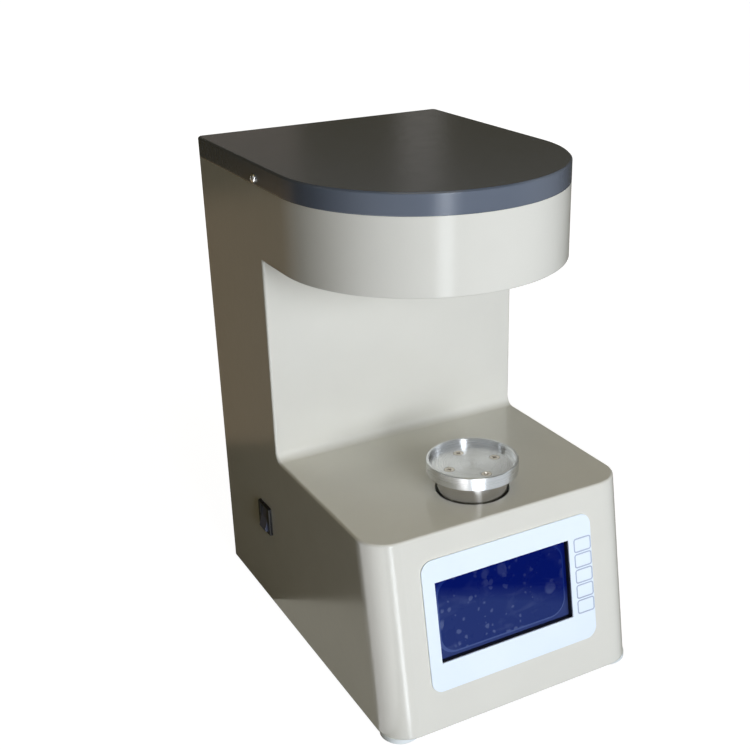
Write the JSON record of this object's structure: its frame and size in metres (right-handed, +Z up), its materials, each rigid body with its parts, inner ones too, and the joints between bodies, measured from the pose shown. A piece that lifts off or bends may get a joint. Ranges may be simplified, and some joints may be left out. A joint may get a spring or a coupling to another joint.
{
  "type": "surface tensiometer",
  "caption": "C-shaped bench surface tensiometer: sloped base with display and keys, lifting sample stage, round-fronted head holding a force balance, dark cover.",
  "frame": {"origin": "on the bench plane, straight below the common axis of the sample stage and the balance hook", "axes": "+X the user's right, +Y from the sloped front to the back, +Z up"},
  "size_m": [0.2226, 0.3135, 0.384],
  "materials": {
    "case_paint": "semi-gloss textured powder coat, light beige",
    "cover_paint": "semi-gloss powder coat, dark slate grey",
    "sheet_steel": "zinc-plated sheet, matt",
    "aluminium": "turned or milled, bare",
    "steel": "ground steel",
    "chrome": "bright nickel-plated screws",
    "brass": "turned brass",
    "white_plastic": "moulded, pale",
    "black_plastic": "moulded, black",
    "black_gloss": "moulded, black, semi-gloss",
    "panel_film": "bluish-white laminate",
    "glass": "dark blue display glass",
    "circuit_board": "solder-masked board",
    "rubber": "moulded rubber",
    "motor_black": "black-painted steel",
    "magnet_steel": "plated steel"
  },
  "bodies": {
    "housing": {"balance_bed": "aluminium", "balance_board": "circuit_board", "balance_spacers": "aluminium", "base_plate": "sheet_steel", "beam_stops": "aluminium", "board_components": "black_plastic", "board_standoffs": "brass", "cover_screws": "chrome", "display_backlight": "white_plastic", "display_board": "circuit_board", "display_frame": "motor_black", "display_glass": "glass", "feet": "white_plastic", "foot_screws": "chrome", "front_panel": "panel_film", "fulcrum_block": "aluminium", "guide_rods": "steel", "hook_grommet": "rubber", "inlet_pins": "brass", "key_board": "circuit_board", "key_switches": "black_plastic", "lift_lower_plate": "aluminium", "lift_pillars": "aluminium", "lift_upper_plate": "aluminium", "limit_gates": "black_plastic", "magnet_pot": "magnet_steel", "main_board": "circuit_board", "main_housing": "case_paint", "motor_screws": "chrome", "nose_studs": "steel", "panel_screws": "chrome", "pivot_pin": "steel", "power_inlet": "black_plastic", "power_supply": "sheet_steel", "power_switch_body": "black_gloss", "rear_panel": "case_paint", "sensor_bracket": "sheet_steel", "stepper_motor": "motor_black", "top_cover": "cover_paint"},
    "stage": {"sample_tray": "aluminium", "tray_screws": "chrome", "stage_post": "aluminium", "carriage": "aluminium", "linear_bushings": "steel", "lead_nut": "brass"},
    "drive_screw": {"lead_screw": "steel", "shaft_coupling": "aluminium", "motor_shaft": "steel"},
    "rocker": {"power_rocker": "black_gloss"},
    "beam": {"balance_beam": "aluminium", "hook_pin": "steel", "force_coil": "aluminium", "counterweight": "brass"},
    "hook": {"ring_hook": "steel"},
    "key_1": {"key_1": "panel_film"},
    "key_2": {"key_2": "panel_film"},
    "key_3": {"key_3": "panel_film"},
    "key_4": {"key_4": "panel_film"},
    "key_5": {"key_5": "panel_film"}
  },
  "joints": [
    {"name": "stage_lift", "type": "slide", "parent": "housing", "child": "stage", "axis": [0, 0, 1], "range_m": [-0.012, 0.028]},
    {"name": "drive_screw_turn", "type": "hinge", "parent": "housing", "child": "drive_screw", "pos_m": [0, 0, 0.1], "axis": [0, 0, 1], "range_deg": [-2525, 1085]},
    {"name": "power_rocker_tilt", "type": "hinge", "parent": "housing", "child": "rocker", "pos_m": [-0.108, 0.1465, 0.0865], "axis": [0, 1, 0], "range_deg": [-24, 0]},
    {"name": "balance_beam_tilt", "type": "hinge", "parent": "housing", "child": "beam", "pos_m": [0, 0.048, 0.3475], "axis": [1, 0, 0], "range_deg": [-2, 2], "stiffness_Nm_per_rad": 0.5},
    {"name": "ring_hook_swing", "type": "hinge", "parent": "beam", "child": "hook", "pos_m": [0, 0, 0.3475], "axis": [1, 0, 0], "range_deg": [-6, 6]},
    {"name": "key_1_press", "type": "slide", "parent": "housing", "child": "key_1", "axis": [0, 0.9858, -0.1677], "range_m": [0, 0.0004], "stiffness_N_per_m": 800},
    {"name": "key_2_press", "type": "slide", "parent": "housing", "child": "key_2", "axis": [0, 0.9858, -0.1677], "range_m": [0, 0.0004], "stiffness_N_per_m": 800},
    {"name": "key_3_press", "type": "slide", "parent": "housing", "child": "key_3", "axis": [0, 0.9858, -0.1677], "range_m": [0, 0.0004], "stiffness_N_per_m": 800},
    {"name": "key_4_press", "type": "slide", "parent": "housing", "child": "key_4", "axis": [0, 0.9858, -0.1677], "range_m": [0, 0.0004], "stiffness_N_per_m": 800},
    {"name": "key_5_press", "type": "slide", "parent": "housing", "child": "key_5", "axis": [0, 0.9858, -0.1677], "range_m": [0, 0.0004], "stiffness_N_per_m": 800}
  ],
  "couplings": [
    {"joint": "drive_screw_turn", "follows": "stage_lift", "rad_per_m": -1570.8}
  ]
}
